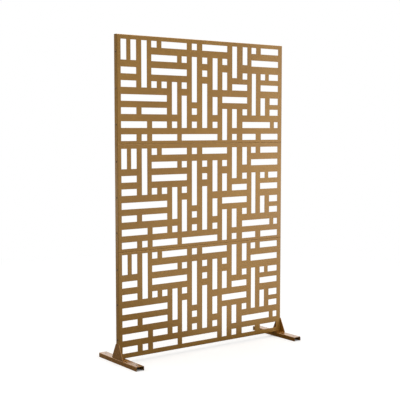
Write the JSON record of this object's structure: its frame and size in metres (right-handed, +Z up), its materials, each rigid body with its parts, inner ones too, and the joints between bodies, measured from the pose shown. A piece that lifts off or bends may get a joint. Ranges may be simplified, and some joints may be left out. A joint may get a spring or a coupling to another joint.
{
  "type": "room divider",
  "caption": "Free-standing screen of stacked folded steel panels with a laser-cut pattern of slots, on channel feet with triangular brackets.",
  "frame": {"origin": "on the floor, in the middle of the footprint of the two feet", "axes": "+Z up; X along the screen's width, with the panels' holed flanges at -X; the panels' slotted faces look towards -Y and their flanges are folded back towards +Y"},
  "size_m": [1.208, 0.4, 1.828],
  "materials": {
    "panel_coat": "satin bronze powder coat",
    "stand_coat": "satin bronze powder coat",
    "fastener_coat": "dark bronze"
  },
  "bodies": {
    "root": {"panel_bottom": "panel_coat", "panel_middle": "panel_coat", "panel_top": "panel_coat", "foot_left": "stand_coat", "foot_right": "stand_coat", "bracket_left": "stand_coat", "bracket_right": "stand_coat", "lower_seam_bolts": "fastener_coat", "lower_seam_nuts": "fastener_coat", "upper_seam_bolts": "fastener_coat", "upper_seam_nuts": "fastener_coat", "foot_bolts": "fastener_coat", "foot_nuts": "fastener_coat"}
  },
  "joints": []
}
